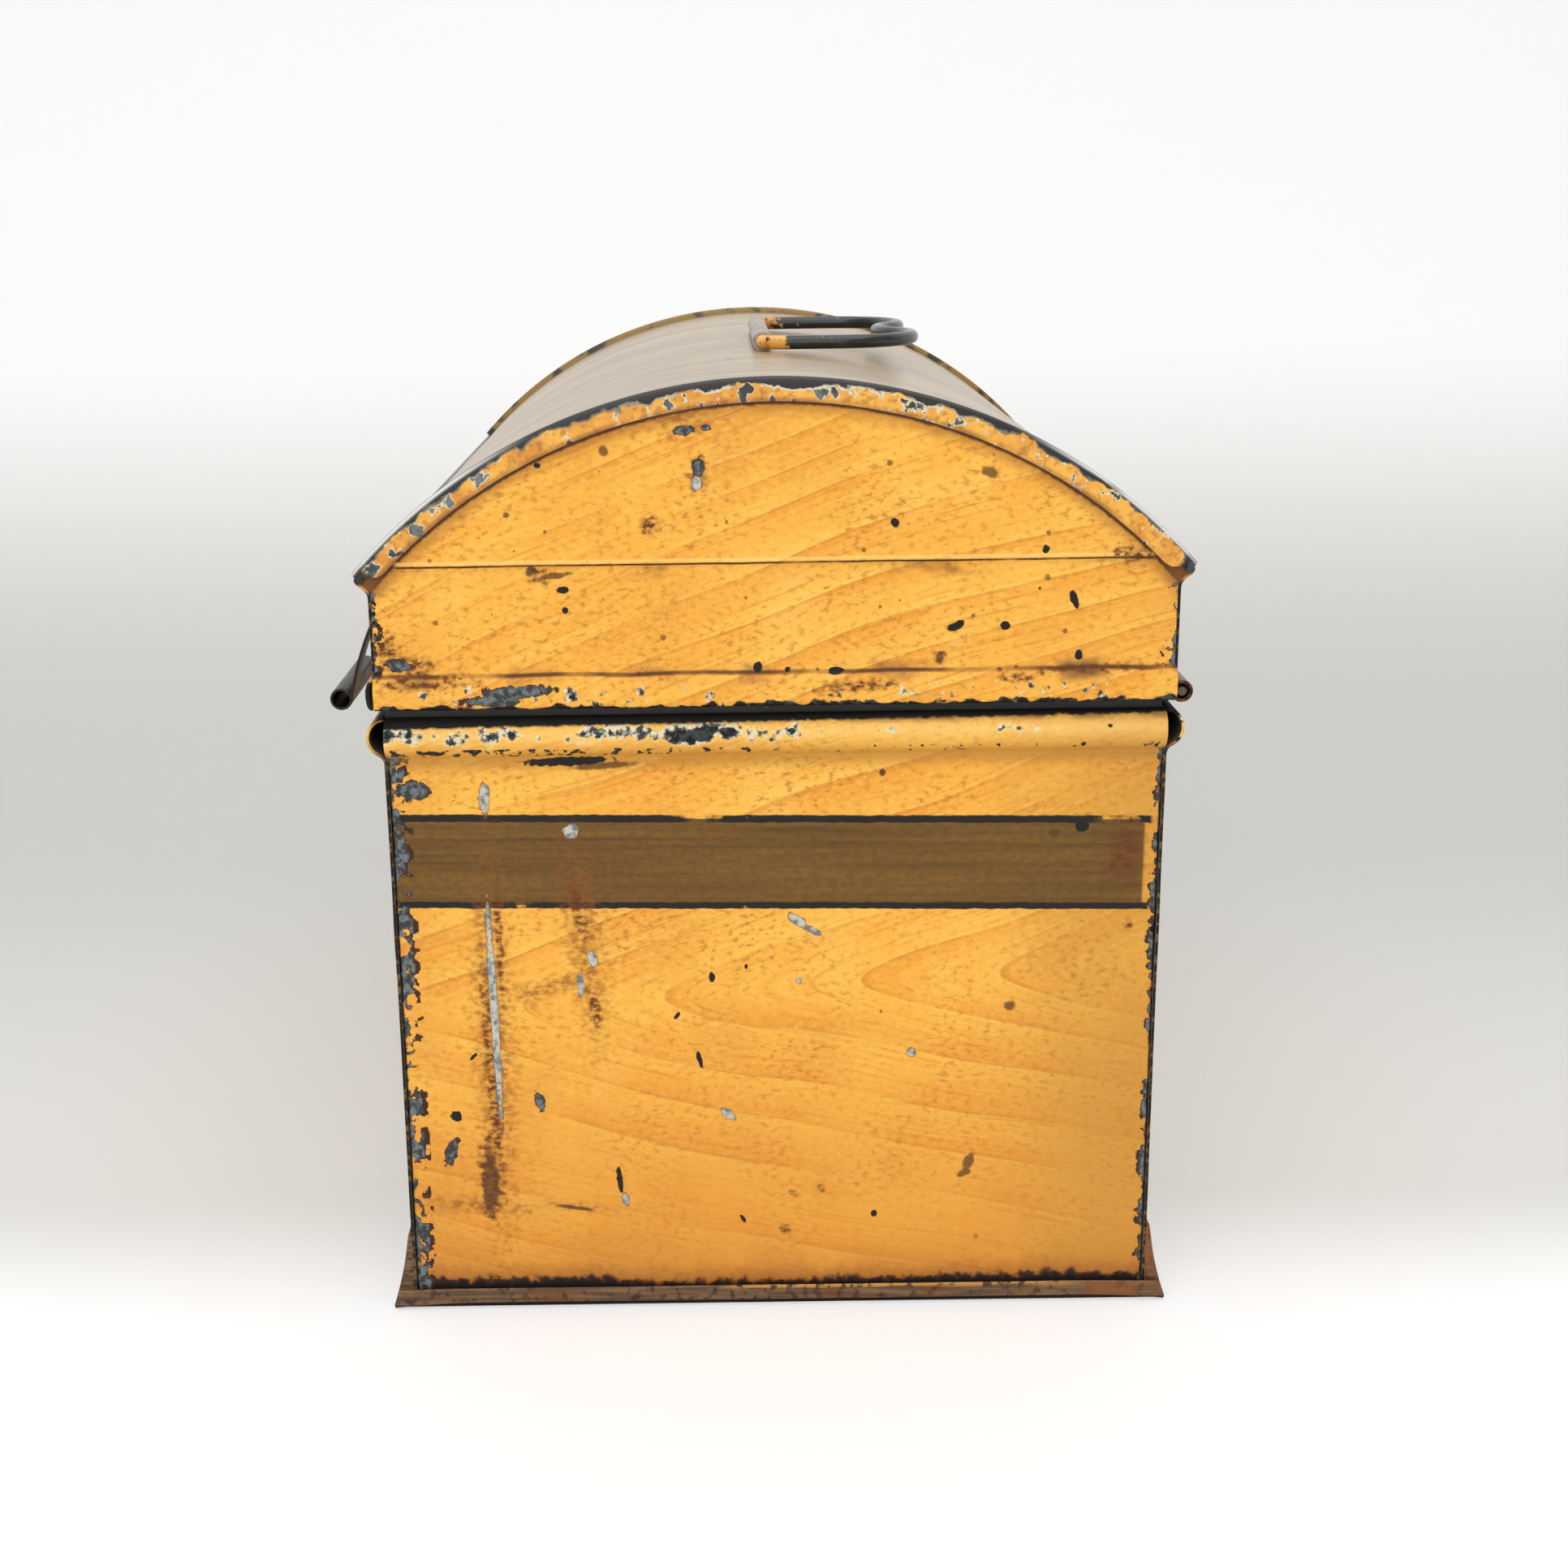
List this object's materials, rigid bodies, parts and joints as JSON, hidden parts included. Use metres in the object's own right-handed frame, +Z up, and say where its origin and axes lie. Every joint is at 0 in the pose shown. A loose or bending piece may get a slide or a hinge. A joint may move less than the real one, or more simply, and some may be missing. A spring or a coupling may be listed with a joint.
{
  "type": "tin money box",
  "caption": "Dome-topped painted tin trunk money box with a hinged arched lid, swinging hasp over a wire staple, and a wire bail handle in a tin clip on the crest.",
  "frame": {"origin": "middle of the underside of the bottom tray", "axes": "+X along the trunk, -Y out of the front with the hasp, +Z up"},
  "size_m": [0.2074, 0.1513, 0.1574],
  "materials": {
    "grained_tin": "worn yellow wood-grained paint with an olive band",
    "lid_top_tin": "worn brown-grey grained paint, varnished",
    "rusted_tin": "rusted, matt",
    "dark_tin": "dark lacquered tin",
    "bare_tin": "dull tinned sheet",
    "bare_wire": "dull wire, browned",
    "black_tin": "black lacquer, worn",
    "black_wire": "black lacquer, glossy"
  },
  "bodies": {
    "base": {"base_front_panel": "grained_tin", "base_back_panel": "grained_tin", "base_right_end": "grained_tin", "base_left_end": "grained_tin", "bottom_tray": "rusted_tin", "collar_front": "dark_tin", "collar_back": "dark_tin", "collar_right": "dark_tin", "collar_left": "dark_tin", "hinge_strap_right": "dark_tin", "hinge_strap_left": "dark_tin", "hasp_staple": "black_wire"},
    "lid": {"lid_front_wall": "grained_tin", "lid_back_wall": "grained_tin", "lid_right_end_wall": "grained_tin", "lid_left_end_wall": "grained_tin", "lid_right_end_arch": "grained_tin", "lid_left_end_arch": "grained_tin", "lid_dome": "lid_top_tin", "hinge_wire": "bare_wire", "handle_clip": "bare_tin", "hasp_leaf": "black_tin", "hasp_pin": "bare_wire", "hasp_rivets": "black_tin"},
    "hasp": {"hasp_flap": "black_tin"},
    "bail": {"handle_bail": "black_wire"}
  },
  "joints": [
    {"name": "lid_hinge", "type": "hinge", "parent": "base", "child": "lid", "pos_m": [0, 0.06375, 0.1058], "axis": [-1, 0, 0], "range_deg": [0, 175]},
    {"name": "hasp_hinge", "type": "hinge", "parent": "lid", "child": "hasp", "pos_m": [0, -0.06445, 0.118], "axis": [-1, 0, 0], "range_deg": [-24, 110]},
    {"name": "bail_swing", "type": "hinge", "parent": "lid", "child": "bail", "pos_m": [0, 0, 0.1556], "axis": [1, 0, 0], "range_deg": [-2, 182]}
  ]
}
